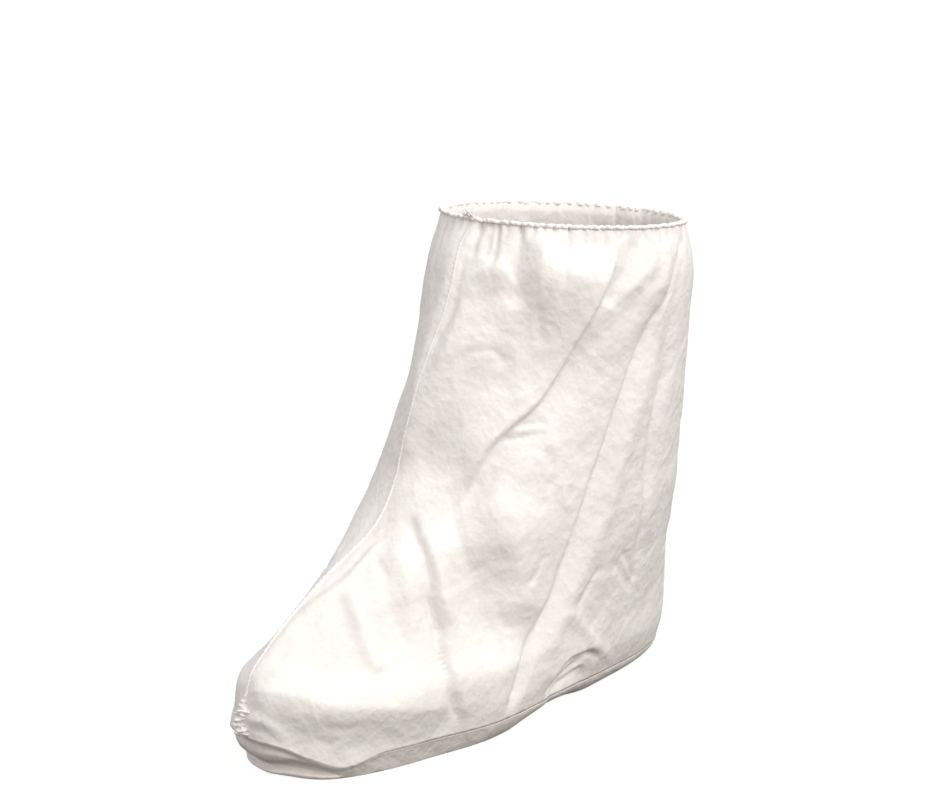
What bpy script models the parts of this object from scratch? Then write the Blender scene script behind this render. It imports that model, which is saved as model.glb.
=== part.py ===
"""Disposable boot cover: a thin gathered bag in its worn form, standing open and empty on its sole.

+X runs to the toe, +Y to the wearer's left and +Z up. The origin lies on the floor, under the
middle of the length. Both sides share one form, so the cover fits either foot.
"""

import math
from collections import namedtuple

import bpy
import numpy as np

# Driving dimensions, in metres
LENGTH = 0.311            # back of the heel to the tip of the toe
BALL_WIDTH = 0.128        # across the widest part of the foot
INSTEP_HEIGHT = 0.116     # floor to the hollow where the shin meets the instep
COLLAR_HEIGHT = 0.274     # floor to the middle of the collar's edge
COLLAR_RISE = 0.0072      # how much higher the collar's front stands than its back
ARCH_RISE = 0.004         # hollow of the underside between heel and forefoot
TOE_SPRING = 0.003        # lift of the underside at the tip of the toe
TOE_SWING = 0.007         # sideways lean of the toe as it is worn
HEEL_LIFT = 0.003         # lift of the underside at the very back

# Sheet, cord and seam, in metres
WALL = 0.0006             # sheet
GAP = 0.0004              # clearance between neighbouring pieces
CORD_RADIUS = 0.0017      # gathered elastic edge
SEAM_HALF = 0.0016        # half the width of the raised seam
SEAM_PROUD = 0.0016       # height of the raised seam

# Flat spots of the underside, as shares of the length
HEEL_FLAT = (0.06, 0.27)
FOREFOOT_FLAT = (0.54, 0.85)

# Mesh steps
COLUMNS = 56              # round the upper, front to front
STEPS = 3                 # between two rows of the section table
EDGE_STEPS = (0.0, 0.35, 0.7, 1.0)   # rings of the underside's turned edge

# One row for each section of the upper, from the sole's crease up to the collar.
# foot and shaft are shares of the instep height and of the height above it, back and front
# are shares of the length, rear and fore are half widths as shares of half the ball width,
# heel_round and toe_round are how square each end is, and follow is how far the section
# takes the rise and fall of the sole's crease.
Section = namedtuple("Section", "name foot shaft back front rear fore heel_round toe_round follow")
SECTIONS = (
    Section("crease",    0.100, 0.00, -0.003, 0.991, 0.82, 1.00, 2.6, 2.2, 1.00),
    Section("wall",      0.224, 0.00, -0.012, 0.988, 0.90, 1.03, 2.5, 2.0, 0.50),
    Section("toe_top",   0.362, 0.00, -0.014, 0.979, 0.93, 1.04, 2.4, 1.85, 0.20),
    Section("vamp_low",  0.483, 0.00, -0.016, 0.957, 0.96, 1.00, 2.3, 1.55, 0.05),
    Section("vamp",      0.603, 0.00, -0.017, 0.911, 0.98, 0.98, 2.3, 1.4, 0.00),
    Section("vamp_high", 0.724, 0.00, -0.018, 0.838, 1.00, 0.98, 2.2, 1.5, 0.00),
    Section("instep",    0.845, 0.00, -0.018, 0.757, 1.02, 0.99, 2.2, 1.8, 0.00),
    Section("throat",    1.000, 0.00, -0.018, 0.685, 1.04, 1.01, 2.2, 2.1, 0.00),
    Section("ankle",     1.000, 0.15, -0.018, 0.638, 1.06, 1.02, 2.1, 2.0, 0.00),
    Section("shin_low",  1.000, 0.33, -0.018, 0.617, 1.085, 1.04, 2.1, 1.6, 0.00),
    Section("shin",      1.000, 0.50, -0.018, 0.594, 1.10, 1.06, 2.1, 1.4, 0.00),
    Section("shin_high", 1.000, 0.69, -0.016, 0.550, 1.105, 1.08, 2.0, 1.5, 0.00),
    Section("gather",    1.000, 0.88, -0.008, 0.508, 1.09, 1.08, 2.0, 1.7, 0.00),
    Section("collar",    1.000, 1.00,  0.005, 0.477, 1.042, 1.042, 2.0, 2.0, 0.00),
)

HEIGHTS = [row.foot * INSTEP_HEIGHT + row.shaft * (COLLAR_HEIGHT - INSTEP_HEIGHT) for row in SECTIONS]

# Middle of the whole length, with the seam that stands proud of the toe
MIDDLE = (LENGTH * (min(row.back for row in SECTIONS) + max(row.front for row in SECTIONS))
          + GAP + SEAM_PROUD) / 2

# One row for each station of the crease round the sole: where it lies as a share of the
# length, how high it stands and how far in the underside turns, in metres.
Crease = namedtuple("Crease", "along height turn")
CREASE = (
    Crease(0.00, 0.010, 0.008),
    Crease(0.20, 0.011, 0.009),
    Crease(0.40, 0.012, 0.009),
    Crease(0.60, 0.011, 0.005),
    Crease(0.80, 0.012, 0.004),
    Crease(0.875, 0.007, 0.004),
    Crease(0.93, 0.014, 0.005),
    Crease(0.97, 0.021, 0.006),
    Crease(1.00, 0.023, 0.006),
)

# One row for each main fold of the drape: depth in metres (below zero for a trough), half
# width in metres, and a path of places, each a share of the way round from the front by the
# left side, and a height in metres.
Fold = namedtuple("Fold", "name depth width path")
FOLDS = (
    Fold("left_drape_ridge", 0.0035, 0.013,
         ((0.196, 0.266), (0.168, 0.228), (0.138, 0.194), (0.092, 0.166), (0.066, 0.150))),
    Fold("left_drape_trough", -0.0050, 0.011,
         ((0.222, 0.262), (0.198, 0.228), (0.174, 0.190), (0.134, 0.158), (0.098, 0.136))),
    Fold("left_long_trough", -0.0065, 0.010,
         ((0.290, 0.238), (0.244, 0.183), (0.228, 0.130), (0.246, 0.070), (0.226, 0.020))),
    Fold("left_rear_trough", -0.0040, 0.009,
         ((0.294, 0.260), (0.290, 0.225), (0.294, 0.172), (0.322, 0.110))),
    Fold("left_instep_trough", -0.0042, 0.012,
         ((0.020, 0.124), (0.070, 0.103), (0.125, 0.075), (0.163, 0.045), (0.184, 0.016))),
    Fold("left_vamp_trough", -0.0030, 0.010,
         ((0.027, 0.103), (0.063, 0.088), (0.112, 0.061))),
    Fold("left_heel_trough", -0.0035, 0.009,
         ((0.272, 0.058), (0.313, 0.039), (0.370, 0.022))),
    Fold("back_trough", -0.0035, 0.011,
         ((0.470, 0.258), (0.452, 0.190), (0.440, 0.110), (0.452, 0.050))),
    Fold("right_rear_trough", -0.0045, 0.010,
         ((0.655, 0.262), (0.672, 0.200), (0.690, 0.140), (0.680, 0.070))),
    Fold("right_long_trough", -0.0060, 0.010,
         ((0.745, 0.262), (0.765, 0.205), (0.790, 0.150), (0.776, 0.080), (0.788, 0.022))),
    Fold("right_drape_trough", -0.0045, 0.011,
         ((0.812, 0.264), (0.846, 0.222), (0.884, 0.180), (0.922, 0.146))),
    Fold("right_instep_trough", -0.0042, 0.012,
         ((0.980, 0.122), (0.926, 0.101), (0.876, 0.074), (0.838, 0.044), (0.820, 0.016))),
)


def curve(places, values, at):
    """A smooth curve through values at rising places, with no overshoot between equal values."""
    places = np.asarray(places, float)
    values = np.asarray(values, float)
    slope = np.diff(values) / np.diff(places)
    inner = np.where(slope[:-1] * slope[1:] > 0, (slope[:-1] + slope[1:]) / 2, 0.0)
    tangent = np.concatenate([slope[:1], inner, slope[-1:]])
    at = np.clip(at, places[0], places[-1])
    i = np.clip(np.searchsorted(places, at, side="right") - 1, 0, len(slope) - 1)
    step = places[i + 1] - places[i]
    t = (at - places[i]) / step
    return (
        (1 + 2 * t) * (1 - t) ** 2 * values[i]
        + t * (1 - t) ** 2 * step * tangent[i]
        + t * t * (3 - 2 * t) * values[i + 1]
        + t * t * (t - 1) * step * tangent[i + 1]
    )


def column(rows, name):
    """One named column of a table."""
    return [getattr(row, name) for row in rows]


def ease(value):
    """Zero up to 0, one from 1, smooth between."""
    t = np.clip(value, 0.0, 1.0)
    return t * t * (3 - 2 * t)


def crease_height(x):
    """Height of the crease round the sole, x being measured from the heel."""
    return curve(column(CREASE, "along"), column(CREASE, "height"), x / LENGTH)


def underside(x):
    """Height of the underside: flat at heel and forefoot, hollow at the arch, lifted at both ends."""
    share = x / LENGTH
    arch = (share - HEEL_FLAT[1]) / (FOREFOOT_FLAT[0] - HEEL_FLAT[1])
    toe = (share - FOREFOOT_FLAT[1]) / (1 - FOREFOOT_FLAT[1])
    heel = (HEEL_FLAT[0] - share) / HEEL_FLAT[0]
    hollow = np.sin(np.pi * np.clip(arch, 0, 1)) ** 2
    return (
        ARCH_RISE * hollow
        + TOE_SPRING * np.clip(toe, 0, 1) ** 2
        + HEEL_LIFT * np.clip(heel, 0, 1) ** 2
    )


def section(level, count):
    """Points evenly spaced round one section, from the toe by the left side and the heel."""
    at = np.arange(len(SECTIONS))
    row = {name: curve(at, column(SECTIONS, name), level) for name in Section._fields[1:]}
    fine = np.linspace(0, math.pi, 361)
    lean = np.cos(fine)
    power = np.where(lean > 0, row["toe_round"], row["heel_round"])
    along = (1 + lean) / 2
    half = BALL_WIDTH / 2 * (row["rear"] + (row["fore"] - row["rear"]) * ease((along - 0.2) / 0.44))
    y = half * (1 - np.abs(lean) ** power) ** (1 / power)
    x = LENGTH * (row["back"] + (row["front"] - row["back"]) * along)
    run = np.concatenate([[0], np.cumsum(np.hypot(np.diff(x), np.diff(y)))])
    even = np.linspace(0, run[-1], count // 2 + 1)
    x, y = np.interp(even, run, x), np.interp(even, run, y)
    x = np.concatenate([x, x[-2:0:-1]])
    y = np.concatenate([y, -y[-2:0:-1]])
    height = curve(at, HEIGHTS, level)
    middle = LENGTH * (SECTIONS[-1].back + SECTIONS[-1].front) / 2
    reach = LENGTH * (SECTIONS[-1].front - SECTIONS[-1].back)
    tilt = COLLAR_RISE * (x - middle) / reach * ease((row["shaft"] - 0.5) / 0.5)
    z = height + row["follow"] * (crease_height(x) + GAP - HEIGHTS[0]) + tilt
    y = y + TOE_SWING * ease((x / LENGTH - 0.55) / 0.45)
    return np.stack([x - MIDDLE, y, z], axis=-1)


def level_of(height):
    """Place in the section table of a height above the floor."""
    levels = np.linspace(0, len(SECTIONS) - 1, 261)
    return np.interp(height, curve(np.arange(len(SECTIONS)), HEIGHTS, levels), levels)


def on_grid(grid, around, level):
    """Point of the grid at a share of the way round and a place in the section table."""
    row = np.clip(level * STEPS, 0, len(grid) - 1.001)
    turn = np.mod(around, 1.0) * COLUMNS
    r, c = row.astype(int), turn.astype(int) % COLUMNS
    up, on = (row - r)[:, None], (turn - turn.astype(int))[:, None]
    near = grid[r, c] * (1 - on) + grid[r, (c + 1) % COLUMNS] * on
    above = grid[r + 1, c] * (1 - on) + grid[r + 1, (c + 1) % COLUMNS] * on
    return near * (1 - up) + above * up


def fold_offsets(grid):
    """How far each point of the grid moves out, from all the folds."""
    offset = np.zeros(grid.shape[:2])
    for fold in FOLDS:
        t = np.linspace(0, 1, 41)
        places = np.linspace(0, 1, len(fold.path))
        around = curve(places, [place[0] for place in fold.path], t)
        height = curve(places, [place[1] for place in fold.path], t)
        line = on_grid(grid, around, level_of(height))
        away = np.linalg.norm(grid[:, :, None, :] - line, axis=-1)
        near = away.argmin(axis=-1)
        fade = ease(4 * t) * ease(4 * (1 - t))
        offset += fold.depth * fade[near] * np.exp(-(away.min(axis=-1) / fold.width) ** 2)
    level = np.linspace(0, len(SECTIONS) - 1, len(grid))
    return offset * (ease(level / 1.5) * ease((len(SECTIONS) - 1 - level) / 0.9))[:, None]


def upper_grid():
    """Outer surface of the upper: rows from the crease to the collar, columns round it."""
    levels = np.linspace(0, len(SECTIONS) - 1, (len(SECTIONS) - 1) * STEPS + 1)
    grid = np.stack([section(level, COLUMNS) for level in levels])
    return grid + grid_normals(grid) * fold_offsets(grid)[:, :, None]


def grid_normals(grid):
    """Outward unit normals of the upper's grid."""
    around = np.roll(grid, -1, axis=1) - np.roll(grid, 1, axis=1)
    upward = np.gradient(grid, axis=0)
    normal = np.cross(around, upward)
    return normal / np.linalg.norm(normal, axis=-1, keepdims=True)


def band_faces(rows, columns):
    """Quads of a grid that closes round its columns."""
    return [
        (r * columns + c, r * columns + (c + 1) % columns,
         (r + 1) * columns + (c + 1) % columns, (r + 1) * columns + c)
        for r in range(rows - 1)
        for c in range(columns)
    ]


def plain_material(name, colour, roughness):
    """A Principled material with one colour."""
    material = bpy.data.materials.new(name)
    material.use_nodes = True
    shader = material.node_tree.nodes["Principled BSDF"]
    shader.inputs["Base Color"].default_value = (*colour, 1.0)
    shader.inputs["Roughness"].default_value = roughness
    return material


def add_object(name, data, material):
    """A named object in the part's own collection."""
    data.materials.append(material)
    made = bpy.data.objects.new(name, data)
    PART.objects.link(made)
    return made


def add_mesh(name, points, faces, material):
    """A mesh object from points and faces."""
    mesh = bpy.data.meshes.new(name)
    mesh.from_pydata([tuple(p) for p in points], [], faces)
    mesh.validate()
    return add_object(name, mesh, material)


def thicken(made, thickness):
    """Gives an open sheet its wall, on the inner side."""
    wall = made.modifiers.new("wall", "SOLIDIFY")
    wall.thickness = thickness
    wall.offset = -1.0
    wall.use_rim = True


def make_upper(grid, material):
    """The bag's body, open at the collar and underneath."""
    rows, columns = grid.shape[:2]
    made = add_mesh("upper", grid.reshape(-1, 3), band_faces(rows, columns), material)
    thicken(made, WALL)


def make_sole(material):
    """The underside: a shallow dish whose edge turns down from the crease to the floor."""
    rim = section(0, COLUMNS)
    tangent = np.roll(rim, -1, axis=0) - np.roll(rim, 1, axis=0)
    inward = np.stack([-tangent[:, 1], tangent[:, 0]], axis=-1)
    inward /= np.linalg.norm(inward, axis=-1, keepdims=True)
    x = rim[:, 0] + MIDDLE
    turn = curve(column(CREASE, "along"), column(CREASE, "turn"), x / LENGTH)
    rings = []
    for share in EDGE_STEPS:
        ring = rim.copy()
        ring[:, :2] += inward * (turn * share)[:, None]
        low = underside(ring[:, 0] + MIDDLE)
        drop = (1 - share) ** 1.3
        ring[:, 2] = low + (crease_height(x) - low) * drop
        rings.append(ring)
    faces = [face[::-1] for face in band_faces(len(rings), COLUMNS)]
    last = (len(rings) - 1) * COLUMNS
    middle = COLUMNS // 2
    faces.append((last, last + COLUMNS - 1, last + 1))
    for i in range(1, middle - 1):
        faces.append((last + i, last + COLUMNS - i, last + COLUMNS - i - 1, last + i + 1))
    faces.append((last + middle - 1, last + middle + 1, last + middle))
    made = add_mesh("sole", np.concatenate(rings), faces, material)
    thicken(made, WALL)


def make_cord(grid, material):
    """The elastic cord in the gathered top edge."""
    data = bpy.data.curves.new("collar_elastic", "CURVE")
    data.dimensions = "3D"
    data.bevel_depth = CORD_RADIUS
    data.bevel_resolution = 1
    spline = data.splines.new("POLY")
    edge = grid[-1] - grid_normals(grid)[-1] * WALL / 2
    spline.points.add(len(edge) - 1)
    for point, place in zip(spline.points, edge):
        point.co = (place[0], place[1], place[2] + GAP + CORD_RADIUS, 1.0)
    spline.use_cyclic_u = True
    add_object("collar_elastic", data, material)


def make_seam(grid, material):
    """The raised seam along the front, from the collar over the instep to the crease."""
    normal = grid_normals(grid)
    rows = np.arange(1, len(grid) - 1)
    points = []
    for r in rows:
        middle = grid[r, 0]
        left, right = grid[r, 1] - middle, grid[r, -1] - middle
        left = middle + left / np.linalg.norm(left) * SEAM_HALF
        right = middle + right / np.linalg.norm(right) * SEAM_HALF
        out = normal[r, 0]
        lift = GAP + SEAM_PROUD
        points += [left + out * GAP, middle + out * GAP, right + out * GAP]
        points += [right + out * lift * 0.8, middle + out * lift, left + out * lift * 0.8]
    faces = [face[::-1] for face in band_faces(len(rows), 6)]
    last = (len(rows) - 1) * 6
    faces.append(tuple(range(6)))
    faces.append(tuple(last + i for i in range(5, -1, -1)))
    add_mesh("front_seam", np.array(points), [f[::-1] for f in faces], material)


for old in list(bpy.data.objects):
    bpy.data.objects.remove(old)
PART = bpy.data.collections.new("disposable_boot_cover")
bpy.context.scene.collection.children.link(PART)

sheet = plain_material("sheet", (0.86, 0.83, 0.81), 0.55)
underfoot = plain_material("underfoot", (0.84, 0.81, 0.79), 0.6)
cord = plain_material("cord", (0.88, 0.86, 0.84), 0.6)
thread = plain_material("thread", (0.88, 0.85, 0.83), 0.6)

UPPER = upper_grid()
make_upper(UPPER, sheet)
make_sole(underfoot)
make_cord(UPPER, cord)
make_seam(UPPER, thread)
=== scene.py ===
import math

import bpy
import numpy as np
from mathutils import Matrix, Vector


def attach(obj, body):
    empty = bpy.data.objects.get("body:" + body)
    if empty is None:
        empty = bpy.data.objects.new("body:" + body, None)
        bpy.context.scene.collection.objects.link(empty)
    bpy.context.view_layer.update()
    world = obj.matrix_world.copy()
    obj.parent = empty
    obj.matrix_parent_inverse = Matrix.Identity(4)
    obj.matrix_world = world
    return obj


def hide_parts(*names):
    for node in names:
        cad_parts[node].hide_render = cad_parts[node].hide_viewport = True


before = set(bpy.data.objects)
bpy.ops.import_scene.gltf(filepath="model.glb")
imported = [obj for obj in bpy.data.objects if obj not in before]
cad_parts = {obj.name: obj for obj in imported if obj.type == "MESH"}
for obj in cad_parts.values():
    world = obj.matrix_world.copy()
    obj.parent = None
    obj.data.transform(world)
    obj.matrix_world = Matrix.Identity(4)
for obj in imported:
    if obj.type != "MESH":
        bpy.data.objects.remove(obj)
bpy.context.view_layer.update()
print("frame loaded:", ", ".join(sorted(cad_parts)))


# camera at the photograph's angle, in metres and degrees
cameraView = {
    "place": (0.6335, 0.7034, 0.409),
    "bearing": 44.7,      # round from the toe
    "turn": 3.17,
    "dip": 13.8,
    "roll": 0.83,
    "lens": 67.66,
}


def addCamera(view):
    bearing = math.radians(view["bearing"] + 180 + view["turn"])
    dip, roll = math.radians(view["dip"]), math.radians(view["roll"])
    above = np.array([0.0, 0.0, 1.0])
    level = np.array([math.cos(bearing), math.sin(bearing), 0.0])
    right = np.cross(level, above)
    ahead = math.cos(dip) * level - math.sin(dip) * above
    up = np.cross(right, ahead)
    right, up = (math.cos(roll) * right + math.sin(roll) * up,
                 math.cos(roll) * up - math.sin(roll) * right)
    data = bpy.data.cameras.new("camera")
    data.sensor_fit = "HORIZONTAL"
    data.sensor_width = 36
    data.lens = view["lens"]
    camera = bpy.data.objects.new("camera", data)
    bpy.context.scene.collection.objects.link(camera)
    turned = np.stack([right, up, -ahead], axis=1)
    camera.matrix_world = Matrix([[*row, at] for row, at in zip(turned, view["place"])] + [[0, 0, 0, 1]])
    bpy.context.scene.camera = camera


def mathNode(tree, operation, first, second):
    node = tree.nodes.new("ShaderNodeMath")
    node.operation = operation
    for socket, value in zip(node.inputs, (first, second)):
        if isinstance(value, (int, float)):
            socket.default_value = value
        else:
            tree.links.new(value, socket)
    return node.outputs[0]


# pale floor, a soft sky and one soft key light
studio = {
    "floorRadius": 40,
    "floorColour": (0.11, 0.097, 0.085),
    "floorRoughness": 0.9,
    "floorSpecular": 0.1,
    "floorGlow": 0.94,
    "skyLow": (0.27, 0.245, 0.222),
    "skyHigh": (1.11, 1.090, 1.070),
    "skyTop": (0.74, 0.725, 0.710),
    "skyAxis": (0.12, -0.09, 1.0),
    "highRamp": (-0.32, 0.18),     # where the sky brightens, as a share along the axis
    "topRamp": (0.45, 0.95),       # where it dims again overhead
    "keyPlace": (0.03, 0.96, 0.96),
    "keyAim": (0.0, 0.0, 0.12),
    "keySize": 0.6,
    "keyPower": 7.9,
    "keyColour": (1.0, 0.985, 0.965),
}


def addStudio(s):
    scene = bpy.context.scene
    scene.view_settings.view_transform = "Standard"
    world = bpy.data.worlds.new("studio")
    scene.world = world
    world.use_nodes = True
    tree = world.node_tree
    back = tree.nodes["Background"]
    coord = tree.nodes.new("ShaderNodeTexCoord")
    rising = tree.nodes.new("ShaderNodeVectorMath")
    rising.operation = "DOT_PRODUCT"
    rising.inputs[1].default_value = s["skyAxis"]
    tree.links.new(coord.outputs["Generated"], rising.inputs[0])
    below = None
    for colour, ramp in (("skyHigh", "highRamp"), ("skyTop", "topRamp")):
        rise = tree.nodes.new("ShaderNodeMapRange")
        rise.interpolation_type = "SMOOTHSTEP"
        rise.inputs["From Min"].default_value, rise.inputs["From Max"].default_value = s[ramp]
        tree.links.new(rising.outputs["Value"], rise.inputs["Value"])
        sky = tree.nodes.new("ShaderNodeMix")
        sky.data_type = "RGBA"
        sky.inputs["B"].default_value = (*s[colour], 1)
        tree.links.new(rise.outputs[0], sky.inputs["Factor"])
        if below:
            tree.links.new(below, sky.inputs["A"])
        else:
            sky.inputs["A"].default_value = (*s["skyLow"], 1)
        below = sky.outputs["Result"]
    tree.links.new(below, back.inputs["Color"])

    lamp = bpy.data.lights.new("key", "AREA")
    lamp.shape = "DISK"
    lamp.size = s["keySize"]
    lamp.energy = s["keyPower"]
    lamp.color = s["keyColour"]
    key = bpy.data.objects.new("key", lamp)
    scene.collection.objects.link(key)
    key.location = s["keyPlace"]
    away = key.location - Vector(s["keyAim"])
    key.rotation_mode = "QUATERNION"
    key.rotation_quaternion = away.to_track_quat("Z", "Y")

    mesh = bpy.data.meshes.new("floor")
    turns = np.linspace(0, 2 * math.pi, 97)[:-1]
    ring = [(s["floorRadius"] * math.cos(a), s["floorRadius"] * math.sin(a), 0) for a in turns]
    mesh.from_pydata(ring, [], [tuple(range(len(ring)))])
    floor = bpy.data.objects.new("floor", mesh)
    scene.collection.objects.link(floor)
    paint = bpy.data.materials.new("floorPaint")
    paint.use_nodes = True
    shader = paint.node_tree.nodes["Principled BSDF"]
    shader.inputs["Base Color"].default_value = (*s["floorColour"], 1)
    shader.inputs["Roughness"].default_value = s["floorRoughness"]
    shader.inputs["Specular IOR Level"].default_value = s["floorSpecular"]
    # the floor shows paler than the light it throws back
    path = paint.node_tree.nodes.new("ShaderNodeLightPath")
    glow = mathNode(paint.node_tree, "MULTIPLY", path.outputs["Is Camera Ray"], s["floorGlow"])
    shader.inputs["Emission Color"].default_value = (1, 1, 1, 1)
    paint.node_tree.links.new(glow, shader.inputs["Emission Strength"])
    mesh.materials.append(paint)


addCamera(cameraView)
addStudio(studio)
print("camera, light and floor placed")


# the cover's own form: the same rows and sizes as the solids
form = {
    "length": 0.311,
    "ballWidth": 0.128,
    "instepHeight": 0.116,
    "collarHeight": 0.274,
    "collarRise": 0.0072,
    "archRise": 0.004,
    "toeSpring": 0.003,
    "toeSwing": 0.007,
    "heelLift": 0.003,
    "middle": 0.152301,       # from the heel mark to the origin
    "rimGap": 0.0004,
    "heelFlat": (0.06, 0.27),
    "forefootFlat": (0.54, 0.85),
    # where each change starts and how long it takes, as shares
    "widening": (0.2, 0.44),
    "tilting": (0.5, 0.5),
    "swinging": (0.55, 0.45),
}
sectionParts = ("foot", "shaft", "back", "front", "rear", "fore", "heelRound", "toeRound", "follow")
sectionRows = np.array([
    (0.100, 0.00, -0.003, 0.991, 0.82, 1.00, 2.6, 2.2, 1.00),     # crease
    (0.224, 0.00, -0.012, 0.988, 0.90, 1.03, 2.5, 2.0, 0.50),     # wall
    (0.362, 0.00, -0.014, 0.979, 0.93, 1.04, 2.4, 1.85, 0.20),    # top of the toe
    (0.483, 0.00, -0.016, 0.957, 0.96, 1.00, 2.3, 1.55, 0.05),    # low vamp
    (0.603, 0.00, -0.017, 0.911, 0.98, 0.98, 2.3, 1.4, 0.00),     # vamp
    (0.724, 0.00, -0.018, 0.838, 1.00, 0.98, 2.2, 1.5, 0.00),     # high vamp
    (0.845, 0.00, -0.018, 0.757, 1.02, 0.99, 2.2, 1.8, 0.00),     # instep
    (1.000, 0.00, -0.018, 0.685, 1.04, 1.01, 2.2, 2.1, 0.00),     # throat
    (1.000, 0.15, -0.018, 0.638, 1.06, 1.02, 2.1, 2.0, 0.00),     # ankle
    (1.000, 0.33, -0.018, 0.617, 1.085, 1.04, 2.1, 1.6, 0.00),    # low shin
    (1.000, 0.50, -0.018, 0.594, 1.10, 1.06, 2.1, 1.4, 0.00),     # shin
    (1.000, 0.69, -0.016, 0.550, 1.105, 1.08, 2.0, 1.5, 0.00),    # high shin
    (1.000, 0.88, -0.008, 0.508, 1.09, 1.08, 2.0, 1.7, 0.00),     # gather
    (1.000, 1.00, 0.005, 0.477, 1.042, 1.042, 2.0, 2.0, 0.00),    # collar
])
creaseRows = np.array([       # along, height, turn
    (0.00, 0.010, 0.008),
    (0.20, 0.011, 0.009),
    (0.40, 0.012, 0.009),
    (0.60, 0.011, 0.005),
    (0.80, 0.012, 0.004),
    (0.875, 0.007, 0.004),
    (0.93, 0.014, 0.005),
    (0.97, 0.021, 0.006),
    (1.00, 0.023, 0.006),
])
topLevel = len(sectionRows) - 1
rowHeights = (sectionRows[:, 0] * form["instepHeight"]
              + sectionRows[:, 1] * (form["collarHeight"] - form["instepHeight"]))


def smooth(places, values, at):
    places, values = np.asarray(places, float), np.asarray(values, float)
    slope = np.diff(values) / np.diff(places)
    inner = np.where(slope[:-1] * slope[1:] > 0, (slope[:-1] + slope[1:]) / 2, 0.0)
    tangent = np.concatenate([slope[:1], inner, slope[-1:]])
    at = np.clip(at, places[0], places[-1])
    i = np.clip(np.searchsorted(places, at, side="right") - 1, 0, len(slope) - 1)
    step = places[i + 1] - places[i]
    t = (at - places[i]) / step
    return ((1 + 2 * t) * (1 - t) ** 2 * values[i] + t * (1 - t) ** 2 * step * tangent[i]
            + t * t * (3 - 2 * t) * values[i + 1] + t * t * (t - 1) * step * tangent[i + 1])


def ease(value):
    t = np.clip(value, 0.0, 1.0)
    return t * t * (3 - 2 * t)


def unit(vectors):
    return vectors / np.maximum(np.linalg.norm(vectors, axis=-1, keepdims=True), 1e-12)


def easeOver(value, change):
    start, length = change
    return ease((value - start) / length)


def creaseHeight(x):
    return smooth(creaseRows[:, 0], creaseRows[:, 1], x / form["length"])


def underside(x):
    share = x / form["length"]
    heelEnd, ballStart = form["heelFlat"][1], form["forefootFlat"][0]
    arch = np.clip((share - heelEnd) / (ballStart - heelEnd), 0, 1)
    toe = np.clip((share - form["forefootFlat"][1]) / (1 - form["forefootFlat"][1]), 0, 1)
    heel = np.clip((form["heelFlat"][0] - share) / form["heelFlat"][0], 0, 1)
    return (form["archRise"] * np.sin(np.pi * arch) ** 2
            + form["toeSpring"] * toe ** 2 + form["heelLift"] * heel ** 2)


def sectionRing(level, count):
    at = np.arange(len(sectionRows))
    row = {name: smooth(at, sectionRows[:, i], level) for i, name in enumerate(sectionParts)}
    lean = np.cos(np.linspace(0, math.pi, 1801))
    power = np.where(lean > 0, row["toeRound"], row["heelRound"])
    along = (1 + lean) / 2
    spread = easeOver(along, form["widening"])
    half = form["ballWidth"] / 2 * (row["rear"] + (row["fore"] - row["rear"]) * spread)
    y = half * (1 - np.abs(lean) ** power) ** (1 / power)
    x = form["length"] * (row["back"] + (row["front"] - row["back"]) * along)
    run = np.concatenate([[0], np.cumsum(np.hypot(np.diff(x), np.diff(y)))])
    even = np.linspace(0, run[-1], count // 2 + 1)
    x, y = np.interp(even, run, x), np.interp(even, run, y)
    x, y = np.concatenate([x, x[-2:0:-1]]), np.concatenate([y, -y[-2:0:-1]])
    collarBack, collarFront = sectionRows[-1, 2:4] * form["length"]
    tilt = (form["collarRise"] * (x - (collarBack + collarFront) / 2) / (collarFront - collarBack)
            * easeOver(row["shaft"], form["tilting"]))
    z = (smooth(at, rowHeights, level) + tilt
         + row["follow"] * (creaseHeight(x) + form["rimGap"] - rowHeights[0]))
    y = y + form["toeSwing"] * easeOver(x / form["length"], form["swinging"])
    return np.stack([x - form["middle"], y, z], axis=-1)


def gridNormals(grid):
    around = np.roll(grid, -1, axis=1) - np.roll(grid, 1, axis=1)
    return unit(np.cross(around, np.gradient(grid, axis=0)))


fineLevels = np.linspace(0, topLevel, 521)
fineHeights = smooth(np.arange(len(sectionRows)), rowHeights, fineLevels)


def evenLevels(rows):
    # rows lie evenly along the front and the side together
    rings = np.stack([sectionRing(level, 48) for level in fineLevels])
    step = np.linalg.norm(np.diff(rings, axis=0), axis=-1)[:, [0, 6, 12, 18]].mean(axis=1)
    run = np.concatenate([[0], np.cumsum(step)])
    return np.interp(np.linspace(0, run[-1], rows), run, fineLevels)


sheetMesh = {
    "columns": 420,
    "rows": 204,
    "innerStep": 2,       # columns of the outer face to one of the inner
    "innerRows": 50,
    "thickness": 0.0004,
}
sheetLevels = evenLevels(sheetMesh["rows"])
baseGrid = np.stack([sectionRing(level, sheetMesh["columns"]) for level in sheetLevels])
baseNormals = gridNormals(baseGrid)


def placeOn(grid, around, height):
    # a point of the sheet from the share of the way round, by the left side, and the height
    row = np.interp(np.interp(height, fineHeights, fineLevels), sheetLevels, np.arange(len(sheetLevels)))
    row = np.clip(row, 0, len(grid) - 1.001)
    turn = np.mod(around, 1.0) * grid.shape[1]
    r, c = row.astype(int), turn.astype(int) % grid.shape[1]
    up, on = (row - r)[:, None], (turn - np.floor(turn))[:, None]
    c2 = (c + 1) % grid.shape[1]
    return ((grid[r, c] * (1 - on) + grid[r, c2] * on) * (1 - up)
            + (grid[r + 1, c] * (1 - on) + grid[r + 1, c2] * on) * up)


def foldLine(path, count):
    path = np.asarray(path, float)
    run = np.linspace(0, 1, len(path))
    t = np.linspace(0, 1, count)
    around, height = smooth(run, path[:, 0], t), smooth(run, path[:, 1] / 1000, t)
    return placeOn(baseGrid, around, height), placeOn(baseNormals, around, height)


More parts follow.
